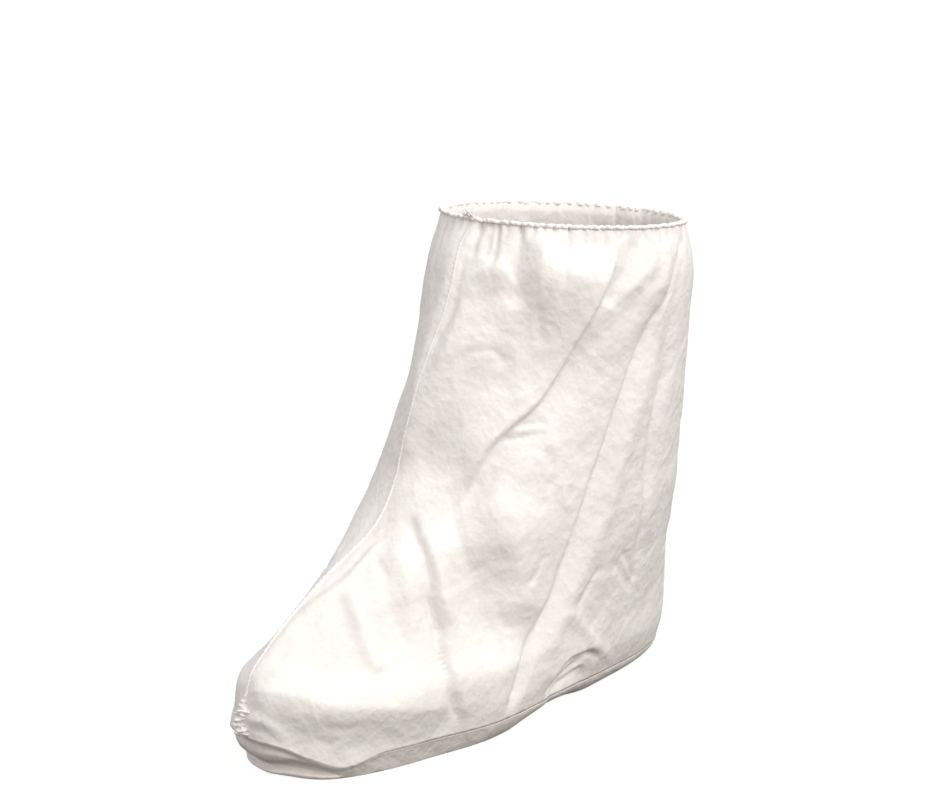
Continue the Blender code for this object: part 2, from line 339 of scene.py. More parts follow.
foldEdge = {
    "crest": 0.0006,      # how round a crease is, in metres
    "foot": 0.02,         # how softly a tent meets the sheet
    "slope": 0.03,        # how much a wide step slopes
}


# how far a fold lifts the sheet at a distance from its line, above zero on the left of the way it runs
def softShape(away, width):
    return np.exp(-(away / width) ** 2)


def tentShape(away, width):
    rise = 1 - (np.hypot(away, foldEdge["crest"]) - foldEdge["crest"]) / width
    return (rise + np.sqrt(rise * rise + foldEdge["foot"])) / 2


def stepShape(away, width):
    return np.tanh(away / (foldEdge["crest"] + foldEdge["slope"] * width)) * np.exp(-np.abs(away) / width)


foldShapes = {"soft": softShape, "tent": tentShape, "step": stepShape}


def addFold(offset, shape, depth, width, path, ends=(0.2, 0.2), count=49):
    # depth and width in millimetres, the path as share round and height in millimetres
    line, lineNormal = foldLine(path, count)
    width, depth = np.array([1, 1]) * width / 1000, depth / 1000
    reach = 4 * width.max()
    low, high = line.min(axis=0) - reach, line.max(axis=0) + reach
    near = np.nonzero(((baseGrid > low) & (baseGrid < high)).all(axis=-1))
    if len(near[0]) == 0:
        return
    spots = baseGrid[near]
    closest = ((spots[:, None] - line) ** 2).sum(axis=-1).argmin(axis=1)
    tangent = unit(np.gradient(line, axis=0))
    left = unit(np.cross(lineNormal, tangent))
    span = np.linalg.norm(np.diff(line, axis=0), axis=-1).mean()
    apart = spots - line[closest]
    onward = np.clip((apart * tangent[closest]).sum(axis=-1), -span, span)
    away = np.linalg.norm(apart - tangent[closest] * onward[:, None], axis=-1)
    side = np.sign((apart * left[closest]).sum(axis=-1))
    t = np.clip((closest + onward / span) / (count - 1), 0, 1)
    fade = ease((1 - t) / ends[1])
    if ends[0]:
        fade *= ease(t / ends[0])
    offset[near] += depth * fade * foldShapes[shape](side * away, np.interp(t, (0, 1), width))


# main folds: shape, depth, width, path, and the share of it over which each end fades
mainFolds = {
    # the long drape from the collar to the instep, left
    "drapeEdge": ("step", -3.6, 14, (
        (0.208, 272), (0.193, 253), (0.182, 236), (0.169, 218), (0.156, 199), (0.139, 182), (0.112, 169),
        (0.094, 158), (0.085, 143), (0.078, 130))),
    "drapeShade": ("soft", -2.2, 7, ((0.186, 226), (0.166, 196), (0.140, 172), (0.112, 158), (0.094, 143))),
    "drapeBillow": ("soft", 6.5, 22, ((0.154, 268), (0.147, 248), (0.138, 228), (0.128, 208)), (0.3, 0.7)),
    "bandRidge": ("tent", 1.6, 7, (
        (0.267, 266), (0.233, 249), (0.209, 238), (0.187, 226), (0.172, 213), (0.158, 201)), (0.2, 0.6)),
    "bandShade": ("soft", -2.2, 4.5, ((0.226, 272), (0.214, 256), (0.200, 242), (0.190, 232))),
    # the long crease to the sole and those behind it, left
    "longTrough": ("soft", -3.6, 11, (
        (0.296, 246), (0.260, 212), (0.242, 177), (0.230, 135), (0.236, 90), (0.241, 48), (0.228, 16))),
    "longCrease": ("tent", -3.2, 4.8, (
        (0.296, 241), (0.268, 223), (0.254, 202), (0.242, 177), (0.234, 153), (0.225, 118), (0.231, 96),
        (0.245, 70), (0.241, 48), (0.227, 14))),
    "longLip": ("tent", 1.2, 7, (
        (0.262, 226), (0.240, 192), (0.226, 160), (0.214, 128), (0.218, 98), (0.232, 70), (0.226, 40))),
    "longBack": ("soft", 2.4, 8, (
        (0.280, 212), (0.264, 177), (0.252, 135), (0.256, 90), (0.264, 60), (0.258, 30))),
    "rearCrease": ("tent", -1.8, 5, (
        (0.313, 200), (0.310, 183), (0.305, 160), (0.312, 130), (0.328, 100), (0.362, 62))),
    "rearTrough": ("soft", -2.4, 8, ((0.322, 262), (0.304, 240), (0.306, 200), (0.308, 150), (0.330, 96))),
    "rearTopCrease": ("tent", -1.6, 3.5, ((0.338, 270), (0.304, 254), (0.292, 238), (0.282, 228))),
    "rearRidge": ("tent", 1.2, 6, ((0.286, 270), (0.276, 252), (0.268, 236))),
    # pleats below the collar, left
    "pleatDeep": ("soft", -2.0, 6, ((0.080, 276), (0.082, 258), (0.085, 244), (0.092, 230))),
    "pleatDeepEdge": ("tent", 5.0, 14, (
        (0.108, 275), (0.108, 264), (0.109, 252), (0.112, 240), (0.118, 222)), (0.25, 0.5)),
    "pleatBright": ("soft", 3.2, 8, ((0.050, 254), (0.062, 249), (0.074, 252))),
    "pleatFront": ("soft", -1.8, 3, ((0.038, 276), (0.040, 264), (0.044, 254))),
    "pleatNext": ("soft", -1.5, 2.6, ((0.020, 276), (0.022, 264), (0.026, 254))),
    # front panel, left
    "shadeSliver": ("tent", -0.8, 3.0, ((0.112, 236), (0.120, 222), (0.127, 212))),
    "frontRidge": ("tent", 0.9, 7, ((0.066, 248), (0.085, 227), (0.098, 211), (0.111, 192), (0.120, 178))),
    "arch": ("tent", -0.9, 2.6, ((0.036, 203), (0.057, 209), (0.072, 210), (0.085, 207), (0.096, 201))),
    "archShade": ("soft", -0.8, 9, ((0.038, 194), (0.060, 198), (0.080, 194), (0.092, 184))),
    "shinBillow": ("soft", 4.4, 27, ((0.012, 214), (0.040, 210), (0.070, 207), (0.098, 203)), (0.2, 0.4)),
    "shinHollow": ("soft", -6.0, 18, ((0.008, 160), (0.040, 152), (0.075, 142), (0.110, 130))),
    # beside the seam
    "seamShade": ("soft", -1.4, 3, (
        (0.012, 114), (0.009, 108), (0.005, 102), (0.001, 96), (-0.004, 89), (-0.010, 80))),
    "vampRidge": ("tent", 2.4, 4.5, (
        (0.016, 112), (0.013, 106), (0.014, 99), (0.013, 91), (0.006, 84), (-0.001, 78)), (0.2, 0.3)),
    "besideSeam": ("tent", -0.7, 2.4, ((0.014, 268), (0.018, 246), (0.020, 232), (0.018, 216))),
    # pinched rows where the drape turns under
    "pinchLow": ("tent", -1.2, 2.6, ((0.098, 162), (0.112, 164), (0.129, 165), (0.160, 167))),
    "pinchMiddle": ("tent", 1.0, 2.4, ((0.110, 167), (0.128, 168), (0.150, 169))),
    "pinchHigh": ("tent", -0.9, 2.4, ((0.117, 170), (0.138, 171), (0.156, 172))),
    "pinchNotch": ("tent", -1.1, 3.2, ((0.153, 160), (0.163, 150), (0.170, 141), (0.164, 132))),
    "pinchLight": ("tent", 1.0, 3.2, ((0.164, 150), (0.176, 140), (0.190, 129), (0.208, 120))),
    "sideNick": ("tent", -0.9, 2.6, ((0.190, 102), (0.195, 92), (0.197, 84))),
    "sideNickLow": ("tent", -0.9, 2.8, ((0.180, 78), (0.194, 70), (0.212, 59))),
    # heel, left
    "heelRidge": ("tent", 1.4, 4.5, ((0.258, 64), (0.285, 56), (0.316, 39), (0.362, 13))),
    "heelPocket": ("soft", -2.4, 7, ((0.272, 12), (0.286, 15), (0.304, 17), (0.330, 14))),
    "heelPocketEdge": ("step", 2.2, 7, ((0.268, 18), (0.276, 28), (0.290, 34), (0.310, 34), (0.334, 24))),
    "heelFold": ("tent", -2.4, 2.8, ((0.266, 14), (0.278, 19), (0.294, 26), (0.312, 28))),
    "heelFoldTwin": ("tent", -2.0, 2.6, ((0.272, 12), (0.284, 15), (0.300, 20), (0.316, 22))),
    "heelWrinkle": ("tent", -1.0, 3.2, ((0.296, 87), (0.330, 73), (0.364, 57))),
    "heelWrinkleTwin": ("tent", -0.9, 2.6, ((0.306, 90), (0.336, 77), (0.362, 64))),
    "heelNick": ("tent", -0.9, 2.8, ((0.285, 84), (0.281, 73), (0.280, 62))),
    # hollow between the instep and the long crease, left
    "sideHollow": ("tent", -7.5, 23, (
        (0.048, 142), (0.068, 130), (0.100, 109), (0.158, 82), (0.202, 55), (0.220, 38)), (0.3, 0.3)),
    "sideHollowRidge": ("soft", 3.6, 15, (
        (0.118, 140), (0.135, 119), (0.168, 99), (0.200, 79), (0.222, 60))),
    # foot of the long crease
    "longFoot": ("tent", -4.2, 5, ((0.236, 66), (0.238, 46), (0.232, 28), (0.224, 14)), (0.4, 0.3)),
    # instep and vamp, left
    "instepFold": ("soft", -2.0, 4.2, (
        (0.023, 126), (0.040, 117), (0.058, 109), (0.098, 89), (0.134, 71), (0.148, 59))),
    "instepCut": ("tent", -3.4, (5.0, 3.8), (
        (0.023, 126), (0.040, 117), (0.058, 109), (0.098, 89), (0.134, 71), (0.148, 59), (0.161, 45),
        (0.169, 31), (0.179, 17)), (0.15, 0.16)),
    "instepLip": ("tent", 2.2, 6, (
        (0.034, 124), (0.057, 113), (0.076, 104), (0.107, 89), (0.136, 75), (0.156, 58))),
    "instepEdge": ("step", 2.3, 9, (
        (0.098, 89), (0.134, 71), (0.148, 59), (0.161, 45), (0.169, 31), (0.179, 17)), (0.08, 0.16)),
    "instepHump": ("tent", 1.7, 6, ((0.022, 112), (0.045, 103), (0.074, 90), (0.104, 76), (0.132, 58))),
    "vampFold": ("tent", -1.1, 3.0, ((0.013, 105), (0.035, 99), (0.055, 90), (0.099, 71), (0.121, 56))),
    "vampDent": ("tent", 3.2, 5.5, (
        (0.016, 92), (0.040, 83), (0.063, 73), (0.090, 58), (0.100, 52)), (0.15, 0.2)),
    "vampNick": ("tent", -0.7, 2.4, ((0.088, 54), (0.098, 47), (0.110, 40))),
    "vampLine": ("tent", -0.6, 2.2, ((0.018, 80), (0.017, 71), (0.013, 65), (0.009, 55))),
    # toe, both sides
    "toeEdgeLeft": ("tent", 6.2, 18, (
        (-0.004, 43), (0.013, 46), (0.035, 46), (0.057, 43), (0.076, 41), (0.103, 38), (0.138, 33),
        (0.170, 29), (0.192, 26), (0.212, 25)), (0.15, 0.6)),
    "toeLowEdge": ("tent", 1.7, 4.5, (
        (-0.006, 24), (0.009, 29), (0.018, 29.5), (0.027, 26), (0.040, 20.5))),
    "toeCrease": ("tent", -0.8, 3.0, ((0.056, 34), (0.072, 31), (0.088, 32))),
    "toeEdgeRight": ("tent", 2.0, 14, (
        (1.004, 43), (0.987, 46), (0.965, 46), (0.943, 43), (0.924, 41), (0.895, 37), (0.860, 31))),
    # back and right side, finished plainly after the left
    "backTrough": ("soft", -3.2, 11, ((0.470, 258), (0.452, 190), (0.440, 110), (0.452, 50))),
    "backCrease": ("tent", -1.6, 5, ((0.472, 244), (0.455, 195), (0.441, 140), (0.446, 84))),
    "backFold": ("tent", -1.4, 5, ((0.560, 262), (0.545, 210), (0.556, 150), (0.580, 96))),
    "heelBackFold": ("tent", -1.4, 4, ((0.450, 44), (0.490, 34), (0.535, 26), (0.570, 22))),
    "rightRearTrough": ("soft", -3.2, 9, ((0.655, 262), (0.672, 200), (0.690, 140), (0.680, 70))),
    "rightRearCrease": ("tent", -2.0, 5, ((0.660, 250), (0.673, 198), (0.690, 140), (0.684, 84))),
    "rightLongTrough": ("soft", -3.6, 10, (
        (0.745, 262), (0.765, 205), (0.790, 150), (0.776, 80), (0.788, 22))),
    "rightLongCrease": ("tent", -2.4, 5.5, (
        (0.748, 250), (0.765, 205), (0.790, 150), (0.778, 80), (0.786, 22))),
    "rightDrapeEdge": ("step", 2.4, 14, (
        (0.800, 272), (0.826, 242), (0.852, 212), (0.876, 190), (0.892, 174))),
    "rightDrapeShade": ("soft", -2.0, 7, ((0.822, 228), (0.848, 200), (0.870, 176), (0.884, 162))),
    "rightBillow": ("soft", 2.2, 13, ((0.850, 262), (0.866, 236), (0.890, 206))),
    "rightInstepFold": ("soft", -2.6, 4.4, (
        (0.918, 97), (0.898, 86), (0.876, 74), (0.838, 44), (0.822, 18))),
    "rightInstepLip": ("tent", 1.4, 6, ((0.908, 103), (0.890, 94), (0.864, 80), (0.828, 50))),
    "rightVampFold": ("tent", -1.2, 4.5, ((0.974, 99), (0.932, 84), (0.896, 62), (0.880, 46))),
    "rightHeelRidge": ("tent", 1.4, 4.5, ((0.738, 66), (0.702, 50), (0.660, 30), (0.634, 13))),
    "rightHeelFold": ("tent", -1.6, 4, ((0.722, 50), (0.690, 34), (0.660, 20))),
    "rightHeelWrinkle": ("tent", -1.0, 3.2, ((0.700, 88), (0.662, 70), (0.630, 54))),
    "rightPinch": ("tent", -1.1, 3, ((0.900, 163), (0.872, 167), (0.842, 168))),
    "rightPinchLight": ("tent", 1.0, 3.2, ((0.836, 152), (0.818, 138), (0.800, 122))),
}

# the sheet is held nearly smooth at the sole's crease
creaseHold = {
    "kept": 0.35,         # share of a fold that is left there
    "level": 0.5,
}

# the toe's wall leans in from its edge down to the sole, in millimetres
toeTuck = {
    "left": 3.0,
    "right": 1.6,
    "level": 2.0,
    "around": (0.012, 0.045, 0.155, 0.225),
}

# facets of the stiff sheet between the folds, drawn from a fixed seed, in millimetres
facets = {
    "seed": 11,
    "heights": (14, 262),
    "limits": (12, 268),
    "lean": (0.45, 0.65),     # middle and spread, in radians from straight down
    "bend": 0.2,
    "footTop": 60,
    "footRound": 700,         # rough way round the foot and the shaft
    "shaftRound": 500,
    "ends": (0.4, 0.4),
    "sizes": {
        "large": {"count": 60, "length": (40, 90), "depth": (0.3, 0.7), "width": (10, 20)},
        "middle": {"count": 190, "length": (16, 40), "depth": (0.17, 0.42), "width": (4, 8)},
        "small": {"count": 560, "length": (7, 20), "depth": (0.12, 0.30), "width": (1.8, 3.4)},
    },
}

# gathers under the elastic, in millimetres
gathers = {
    "seed": 21,
    "count": 66,
    "scatter": 0.32,
    "depth": (1.2, 2.6),
    "width": (1.2, 2.0),
    "spread": 2.6,            # how much wider a pleat is where it ends
    "ends": (0, 0.95),
    "reach": (6, 22),
    "longReach": (30, 58),
    "longEvery": 6,
    "longFirst": 3,
    "slant": 0.10,
    "collarRound": 430,
    "billow": 2.4,
    "billowBelow": (0, 28, 80),     # where it starts, is fullest and ends, below the collar
}


def addFacets(offset, s):
    draw = np.random.default_rng(s["seed"])
    for size in s["sizes"].values():
        for _ in range(size["count"]):
            around, height = draw.uniform(0, 1), draw.uniform(*s["heights"])
            length = draw.uniform(*size["length"])
            # the drape runs down and forwards on both sides
            lean = draw.normal(*s["lean"]) * (-1 if around < 0.5 else 1)
            depth = draw.uniform(*size["depth"]) * draw.choice([-1, 1])
            width = draw.uniform(*size["width"])
            bend = draw.uniform(-s["bend"], s["bend"])
            wayRound = s["footRound"] if height < s["footTop"] else s["shaftRound"]
            run = np.linspace(0.5, -0.5, 4) * length
            across = -run * math.sin(lean) + bend * length * (run / length) ** 2
            down = np.clip(height + run * math.cos(lean), *s["limits"])
            path = np.stack([around + across / wayRound, down], axis=-1)
            addFold(offset, "tent", depth, width, path, ends=s["ends"], count=13)


def tuckToe(offset, s):
    tuck = 1 - ease(sheetLevels / s["level"])
    share = np.arange(baseGrid.shape[1]) / baseGrid.shape[1]
    for side, turn in (("left", share), ("right", 1 - share)):
        here = np.interp(turn, s["around"], (0, 1, 1, 0), left=0, right=0)
        offset -= s[side] / 1000 * tuck[:, None] * ease(here)


def addGathers(offset, s):
    draw = np.random.default_rng(s["seed"])
    top = form["collarHeight"] * 1000
    below = top - 1000 * smooth(np.arange(len(sectionRows)), rowHeights, sheetLevels)
    start, peak, end = s["billowBelow"]
    swell = ease((below - start) / (peak - start)) * ease((end - below) / (end - peak))
    offset += s["billow"] / 1000 * swell[:, None]
    for i in range(s["count"]):
        around = (i + draw.uniform(-s["scatter"], s["scatter"])) / s["count"]
        long = i % s["longEvery"] == s["longFirst"]
        reach = draw.uniform(*s["longReach" if long else "reach"])
        slant = draw.normal(0.0, s["slant"]) * reach / s["collarRound"]
        path = [(around, top), (around + slant * 0.5, top - reach / 2), (around + slant, top - reach)]
        depth = -draw.uniform(*s["depth"])
        width = draw.uniform(*s["width"])
        addFold(offset, "tent", depth, (width, width * s["spread"]), path, ends=s["ends"], count=25)


def sheetOffsets():
    offset = np.zeros(baseGrid.shape[:2])
    for fold in mainFolds.values():
        addFold(offset, *fold)
    addFacets(offset, facets)
    kept = creaseHold["kept"]
    offset *= (kept + (1 - kept) * ease(sheetLevels / creaseHold["level"]))[:, None]
    tuckToe(offset, toeTuck)
    addGathers(offset, gathers)
    return offset


def meshFrom(name, points, faces, material):
    mesh = bpy.data.meshes.new(name)
    mesh.from_pydata(np.asarray(points).reshape(-1, 3).tolist(), [], faces)
    mesh.validate()
    mesh.materials.append(material)
    mesh.polygons.foreach_set("use_smooth", [True] * len(mesh.polygons))
    piece = bpy.data.objects.new(name, mesh)
    bpy.context.scene.collection.objects.link(piece)
    return piece


def bandFaces(rows, columns, start=0, flip=False):
    r, c = np.meshgrid(np.arange(rows - 1), np.arange(columns), indexing="ij")
    n = (c + 1) % columns
    corners = [r * columns + c, r * columns + n, (r + 1) * columns + n, (r + 1) * columns + c]
    quads = np.stack(corners, axis=-1).reshape(-1, 4) + start
    return (quads[:, ::-1] if flip else quads).tolist()


def sheetWall(outer, lift, s):
    # the inner face is coarser and lies under the deepest fold near each of its points
    rows, columns = outer.shape[:2]
    step = s["innerStep"]
    at = np.linspace(0, rows - 1, s["innerRows"]).round().astype(int)
    reach = int(math.ceil((rows - 1) / (s["innerRows"] - 1))) + 1
    deep = lift.copy()
    for shift in range(-step, step + 1):
        deep = np.minimum(deep, np.roll(lift, shift, axis=1))
    low = np.stack([deep[max(r - reach, 0):r + reach + 1].min(axis=0) for r in at])
    inner = (baseGrid[at] + baseNormals[at] * (low - s["thickness"])[:, :, None])[:, ::step]
    inner[0, :, 2], inner[-1, :, 2] = outer[0, ::step, 2], outer[-1, ::step, 2]
    few = columns // step
    start = rows * columns
    faces = bandFaces(rows, columns) + bandFaces(len(at), few, start=start, flip=True)
    rims = ((0, start, True), ((rows - 1) * columns, start + (len(at) - 1) * few, False))
    for edge, inside, turned in rims:
        for j in range(few):
            a, b = inside + j, inside + (j + 1) % few
            out = [edge + (j * step + k) % columns for k in range(step + 1)]
            rim = [(out[0], out[1], a), (out[1], out[2], b, a)]
            faces += [face[::-1] for face in rim] if turned else rim
    return np.concatenate([outer.reshape(-1, 3), inner.reshape(-1, 3)]), faces


def giveWall(piece, thickness):
    wall = piece.modifiers.new("wall", "SOLIDIFY")
    wall.thickness = thickness
    wall.offset = -1.0


# finishes
finishes = {
    "sheet": {"light": (0.90, 0.872, 0.848), "dark": (0.80, 0.760, 0.724),
              "roughness": 0.62, "bump": 0.70, "crumple": 0.8},
    # the sole is the same sheet, coloured darker here as painted shade for its shaded underside
    "underfoot": {"light": (0.79, 0.75, 0.715), "dark": (0.67, 0.625, 0.585),
                  "roughness": 0.70, "bump": 0.85, "crumple": 0.8},
    "cord": {"light": (0.91, 0.89, 0.87), "dark": (0.83, 0.80, 0.77),
             "roughness": 0.70, "bump": 0.40, "crumple": 0},
    "thread": {"light": (0.90, 0.88, 0.86), "dark": (0.82, 0.79, 0.765),
               "roughness": 0.68, "bump": 0.40, "crumple": 0},
}
# the spun fibre, in every finish: sizes to the metre, and how much of each the colour and the bump take
fibreLook = {
    "strandSize": 1500,
    "strandRuns": (((1, 1, 0.12), (0.5, 0.3, 0.0)), ((0.12, 0.3, 1), (0.0, 0.4, 0.6))),     # stretch and turn
    "clumpSize": 420,
    "mottleSize": 90,
    "colour": {"Mottle": 0.35, "Clumps": 0.30, "Strands": 0.35},
    "colourRange": (0.40, 0.72),
    "colourDepth": 0.8,
    "roughSpread": (0.08, 0.10),
    "bump": {"Strands": 0.10, "Clumps": 0.22},
    "bumpDepth": 0.001,
    "specular": 0.28,
    "sheen": 0.08,
    "sheenRoughness": 0.5,
}
# facets of the stiff sheet too small to fold: size to the metre, weight and turn
crumpleLook = {
    "facets": ((46, 0.9, (0.4, 0.9, 0.3)), (105, 0.6, (1.1, 0.2, 0.7)), (230, 0.30, (0.7, 0.5, 1.3))),
    "bendSize": 0.5,
    "bendReach": 0.7,
}


def newGroup(name, outputs):
    group = bpy.data.node_groups.new(name, "ShaderNodeTree")
    group.interface.new_socket("Vector", in_out="INPUT", socket_type="NodeSocketVector")
    for label in outputs:
        group.interface.new_socket(label, in_out="OUTPUT", socket_type="NodeSocketFloat")
    return group, group.nodes.new("NodeGroupInput"), group.nodes.new("NodeGroupOutput")


def noiseNode(tree, vector, scale, detail, roughness=0.55, distortion=0.0):
    node = tree.nodes.new("ShaderNodeTexNoise")
    node.inputs["Scale"].default_value = scale
    node.inputs["Detail"].default_value = detail
    node.inputs["Roughness"].default_value = roughness
    node.inputs["Distortion"].default_value = distortion
    tree.links.new(vector, node.inputs["Vector"])
    return node.outputs["Fac"]


def stretchNode(tree, vector, scale, turn):
    node = tree.nodes.new("ShaderNodeMapping")
    node.inputs["Scale"].default_value = scale
    node.inputs["Rotation"].default_value = turn
    tree.links.new(vector, node.inputs["Vector"])
    return node.outputs[0]


def addUp(tree, parts):
    total = parts[0]
    for part in parts[1:]:
        total = mathNode(tree, "ADD", total, part)
    return total


def fibreGroup(s):
    # crossing strands, small clumps and a slow mottle
    group, into, out = newGroup("fibreWeb", ("Strands", "Clumps", "Mottle"))
    place = into.outputs["Vector"]
    one, two = (noiseNode(group, stretchNode(group, place, *run), s["strandSize"], 2)
                for run in s["strandRuns"])
    strands = mathNode(group, "MAXIMUM", one, two)
    clumps = noiseNode(group, place, s["clumpSize"], 3, 0.6)
    mottle = noiseNode(group, place, s["mottleSize"], 3, 0.55, 0.4)
    for label, value in (("Strands", strands), ("Clumps", clumps), ("Mottle", mottle)):
        group.links.new(value, out.inputs[label])
    return group


def crumpleGroup(s):
    # faint creases, as flat facets of three sizes
    group, into, out = newGroup("sheetCrumple", ("Height",))
    place = into.outputs["Vector"]
    parts = []
    for size, weight, turn in s["facets"]:
        bend = group.nodes.new("ShaderNodeTexNoise")
        bend.inputs["Scale"].default_value = size * s["bendSize"]
        bend.inputs["Detail"].default_value = 2
        group.links.new(place, bend.inputs["Vector"])
        shift = group.nodes.new("ShaderNodeVectorMath")
        shift.operation = "MULTIPLY_ADD"
        group.links.new(bend.outputs["Color"], shift.inputs[0])
        shift.inputs[1].default_value = (s["bendReach"] / size,) * 3
        group.links.new(place, shift.inputs[2])
        cell = group.nodes.new("ShaderNodeTexVoronoi")
        cell.distance = "MANHATTAN"
        cell.inputs["Scale"].default_value = size
        group.links.new(stretchNode(group, shift.outputs[0], (1, 1, 1), turn), cell.inputs["Vector"])
        parts.append(mathNode(group, "MULTIPLY", cell.outputs["Distance"], weight))
    group.links.new(addUp(group, parts), out.inputs["Height"])
    return group


fibreWeb = fibreGroup(fibreLook)
sheetCrumple = crumpleGroup(crumpleLook)


def placeGroup(tree, group, coord):
    node = tree.nodes.new("ShaderNodeGroup")
    node.node_tree = group
    tree.links.new(coord.outputs["Object"], node.inputs["Vector"])
    return node


def sharesOf(tree, node, shares):
    parts = [mathNode(tree, "MULTIPLY", node.outputs[label], share) for label, share in shares.items()]
    return addUp(tree, parts)


def clothFinish(name, s, look):
    material = bpy.data.materials.new(name)
    material.use_nodes = True
    tree = material.node_tree
    shader = tree.nodes["Principled BSDF"]
    coord = tree.nodes.new("ShaderNodeTexCoord")
    fibre = placeGroup(tree, fibreWeb, coord)
    tone = tree.nodes.new("ShaderNodeMapRange")
    tone.inputs["From Min"].default_value, tone.inputs["From Max"].default_value = look["colourRange"]
    tree.links.new(sharesOf(tree, fibre, look["colour"]), tone.inputs["Value"])
    mix = tree.nodes.new("ShaderNodeMix")
    mix.data_type = "RGBA"
    mix.inputs["A"].default_value = (*s["light"], 1)
    mix.inputs["B"].default_value = (*s["dark"], 1)
    tree.links.new(mathNode(tree, "MULTIPLY", tone.outputs[0], look["colourDepth"]), mix.inputs["Factor"])
    tree.links.new(mix.outputs["Result"], shader.inputs["Base Color"])
    rough = tree.nodes.new("ShaderNodeMapRange")
    smoother, rougher = look["roughSpread"]
    rough.inputs["To Min"].default_value = s["roughness"] - smoother
    rough.inputs["To Max"].default_value = s["roughness"] + rougher
    tree.links.new(fibre.outputs["Clumps"], rough.inputs["Value"])
    tree.links.new(rough.outputs[0], shader.inputs["Roughness"])
    height = sharesOf(tree, fibre, look["bump"])
    if s["crumple"]:
        folds = placeGroup(tree, sheetCrumple, coord)
        height = addUp(tree, [height, sharesOf(tree, folds, {"Height": s["crumple"]})])
    bump = tree.nodes.new("ShaderNodeBump")
    bump.inputs["Strength"].default_value = s["bump"]
    bump.inputs["Distance"].default_value = look["bumpDepth"]
    tree.links.new(height, bump.inputs["Height"])
    tree.links.new(bump.outputs["Normal"], shader.inputs["Normal"])
    shader.inputs["Specular IOR Level"].default_value = look["specular"]
    shader.inputs["Sheen Weight"].default_value = look["sheen"]
    shader.inputs["Sheen Roughness"].default_value = look["sheenRoughness"]
    return material


sheetFinish = clothFinish("sheetFinish", finishes["sheet"], fibreLook)
soleShadedFinish = clothFinish("soleShadedFinish", finishes["underfoot"], fibreLook)
hemFinish = clothFinish("hemFinish", finishes["cord"], fibreLook)
threadFinish = clothFinish("threadFinish", finishes["thread"], fibreLook)
print("finishes made")


# upper
offsets = sheetOffsets()
upperGrid = baseGrid + baseNormals * offsets[:, :, None]
upperPoints, upperFaces = sheetWall(upperGrid, offsets, sheetMesh)
upper = meshFrom("cover_upper", upperPoints, upperFaces, sheetFinish)
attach(upper, "root")
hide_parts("upper")
print("upper draped:", len(mainFolds), "main folds")


# sole
soleShape = {
    "edgeRings": 24,
    "across": 36,
    "gap": 0.00012,
    "thickness": 0.0004,
    # along, and how late the edge turns in
    "tuckIn": ((0.48, 1.9), (0.60, 1.2), (0.72, 0.7), (0.93, 0.6)),
    "drop": (0.7, 0.5),       # how late the edge comes down
    "toeTurn": 0.004,
    "toeTurning": (0.9, 0.1),
    # crumples under the toe: millimetres, widths above and below, and a path of share round and share down
    "crumples": {
        "ridge": (2.4, 0.34, 0.22, ((-0.060, 0.30), (-0.020, 0.40), (0.010, 0.42),
                                    (0.030, 0.34), (0.052, 0.10))),
        "valley": (-4.2, 0.40, 0.16, ((-0.050, 0.66), (-0.010, 0.68), (0.020, 0.66),
                                      (0.038, 0.58), (0.056, 0.52), (0.085, 0.50))),
        "nearRim": (-1.2, 0.10, 0.10, ((-0.050, 0.10), (0.0, 0.12), (0.030, 0.10), (0.060, 0.06))),
    },
    "crumpleFade": 0.02,
    "rimFade": (0.08, 0.10),
}


def makeSole(s):
    columns = sheetMesh["columns"]
    rim = upperGrid[0] - np.array([0, 0, s["gap"]])
    tangent = np.roll(baseGrid[0], -1, axis=0) - np.roll(baseGrid[0], 1, axis=0)
    inward = unit(np.stack([-tangent[:, 1], tangent[:, 0]], axis=-1))
    x = rim[:, 0] + form["middle"]
    along = x / form["length"]
    turn = smooth(creaseRows[:, 0], creaseRows[:, 2], along) + s["toeTurn"] * easeOver(along, s["toeTurning"])
    late = np.interp(along, *zip(*s["tuckIn"]))
    drop = s["drop"][0] + s["drop"][1] / late
    around = np.arange(columns) / columns
    around = np.where(around > 0.5, around - 1, around)
    rings = []
    for share in np.linspace(0, 1, s["edgeRings"]):
        lift = np.zeros(columns)
        for depth, above, below, path in s["crumples"].values():
            path = np.array(path)
            line = smooth(path[:, 0], path[:, 1], around)
            ends = np.minimum(around - path[0, 0], path[-1, 0] - around)
            fade = ease(ends / s["crumpleFade"])
            apart = np.where(share < line, (line - share) / above, (share - line) / below)
            lift += depth / 1000 * fade * np.maximum(1 - apart, 0)
        lift *= ease(share / s["rimFade"][0]) * ease((1 - share) / s["rimFade"][1])
        ring = rim.copy()
        ring[:, :2] += inward * (turn * share ** late - lift)[:, None]
        low = underside(ring[:, 0] + form["middle"])
        ring[:, 2] = low + (rim[:, 2] - low) * (1 - share) ** drop
        rings.append(ring)
    points = list(np.concatenate(rings))
    faces = bandFaces(len(rings), columns, flip=True)
    last = (len(rings) - 1) * columns
    # the flat middle, filled from side to side
    half = columns // 2
    rows = [[last]]
    for i in range(1, half):
        a, b = last + i, last + columns - i
        row = [a]
        for share in np.linspace(0, 1, s["across"])[1:-1]:
            p = points[a] * (1 - share) + points[b] * share
            p[2] = underside(p[0] + form["middle"])
            points.append(p)
            row.append(len(points) - 1)
        rows.append(row + [b])
    rows.append([last + half])
    for one, two in zip(rows, rows[1:]):
        if len(one) == 1:
            faces += [(one[0], two[j + 1], two[j]) for j in range(len(two) - 1)]
        elif len(two) == 1:
            faces += [(one[j], one[j + 1], two[0]) for j in range(len(one) - 1)]
        else:
            faces += [(one[j], one[j + 1], two[j + 1], two[j]) for j in range(len(one) - 1)]
    return np.array(points), faces


solePoints, soleFaces = makeSole(soleShape)
sole = meshFrom("cover_sole", solePoints, soleFaces, soleShadedFinish)
giveWall(sole, soleShape["thickness"])
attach(sole, "root")
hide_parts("sole")
print("sole laid")


